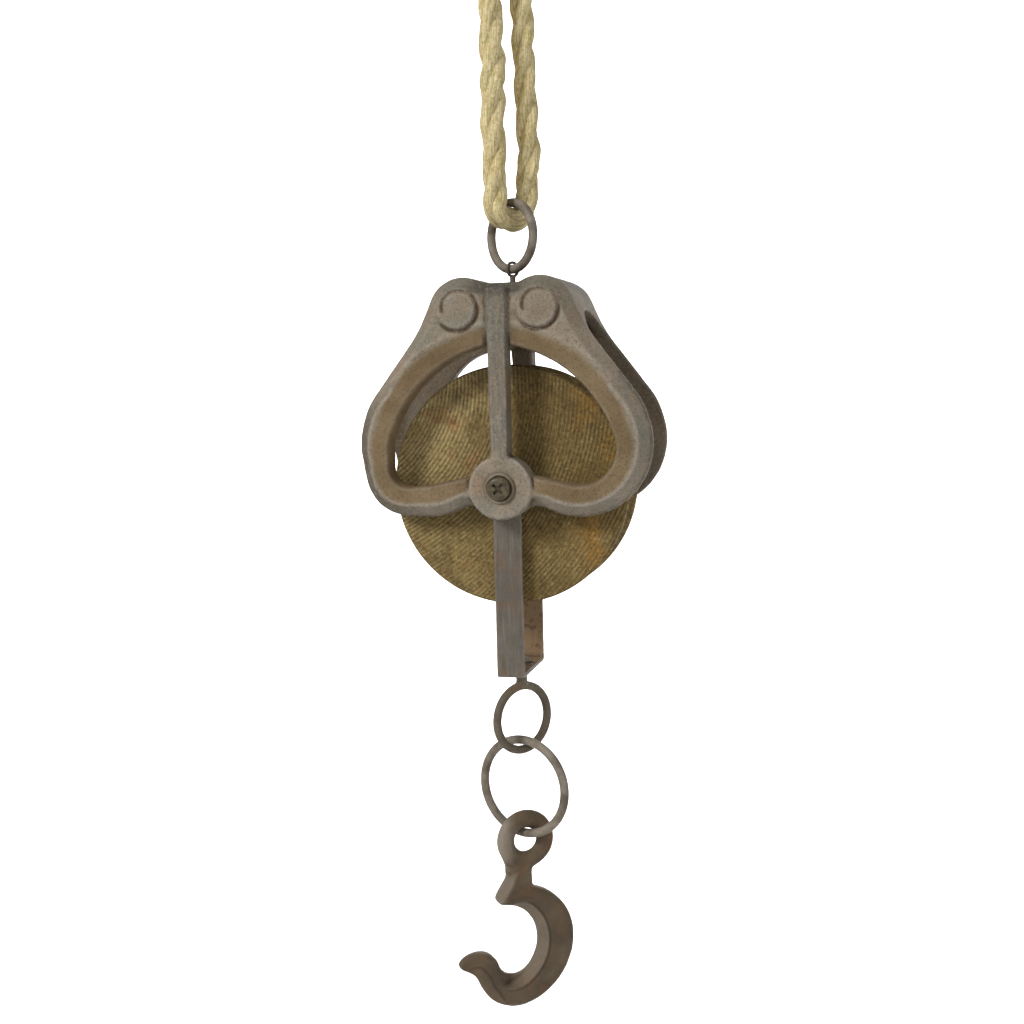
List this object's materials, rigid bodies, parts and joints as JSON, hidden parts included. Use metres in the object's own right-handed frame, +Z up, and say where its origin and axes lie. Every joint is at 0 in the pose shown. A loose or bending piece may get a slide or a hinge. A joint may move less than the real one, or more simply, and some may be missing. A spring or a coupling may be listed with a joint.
{
  "type": "hanging pulley block with hook",
  "caption": "Cast iron pulley block with scrolled open cheeks and a wooden sheave, hung on a rope sling, with a swivel eye, a link and a hook below.",
  "frame": {"origin": "inside top of the rope sling, on the line that the block hangs on", "axes": "+Z up along the hanging line, -Y towards the front cheek with the screw head, +X to its right"},
  "size_m": [0.1284, 0.0736, 0.4659],
  "materials": {
    "rope_fibre": "matt",
    "ring_iron": "dark browned, matt",
    "casting_iron": "aged taupe brown, worn edges",
    "strap_iron": "aged grey brown, matt",
    "hook_iron": "dark browned, worn edges",
    "screw_bronze": "dark bronzed",
    "fastener_steel": "dull",
    "bush_brass": "dull",
    "wheel_wood": "rough sawn, olive gold stain"
  },
  "bodies": {
    "rope": {"rope_sling": "rope_fibre"},
    "ring": {"top_ring": "ring_iron"},
    "block": {"hanger_eye": "ring_iron", "hanger_washer": "fastener_steel", "hanger_nut": "fastener_steel", "front_cheek": "casting_iron", "rear_cheek": "casting_iron", "axle_screw": "screw_bronze", "front_axle_washer": "casting_iron", "rear_axle_washer": "casting_iron", "axle_nut": "fastener_steel", "axle_sleeve": "fastener_steel", "front_spacer": "fastener_steel", "rear_spacer": "fastener_steel"},
    "wheel": {"sheave": "wheel_wood", "sheave_bush": "bush_brass"},
    "becket": {"becket_strap": "strap_iron", "swivel_washer": "fastener_steel"},
    "swivel": {"swivel_eye": "ring_iron"},
    "link": {"lower_link": "ring_iron"},
    "hook": {"hook": "hook_iron"}
  },
  "joints": [
    {"name": "ring_swing", "type": "hinge", "parent": "rope", "child": "ring", "pos_m": [0, 0, -0.0938], "axis": [0.7986, -0.6018, 0], "range_deg": [-35, 35]},
    {"name": "block_swing", "type": "hinge", "parent": "ring", "child": "block", "pos_m": [0, 0, -0.1224], "axis": [0.7986, -0.6018, 0], "range_deg": [-35, 35]},
    {"name": "wheel_spin", "type": "hinge", "parent": "block", "child": "wheel", "pos_m": [0, 0, -0.2158], "axis": [0, 1, 0], "continuous": true},
    {"name": "becket_swing", "type": "hinge", "parent": "block", "child": "becket", "pos_m": [0, 0, -0.2158], "axis": [0, 1, 0], "range_deg": [-90, 90]},
    {"name": "swivel_turn", "type": "hinge", "parent": "becket", "child": "swivel", "pos_m": [0, 0, -0.2998], "axis": [0, 0, 1], "continuous": true},
    {"name": "link_swing", "type": "hinge", "parent": "swivel", "child": "link", "pos_m": [0, 0, -0.3367], "axis": [0.6018, 0.7986, 0], "range_deg": [-50, 50]},
    {"name": "hook_swing", "type": "hinge", "parent": "link", "child": "hook", "pos_m": [0, 0, -0.3754], "axis": [0.9397, -0.342, 0], "range_deg": [-50, 50]}
  ]
}
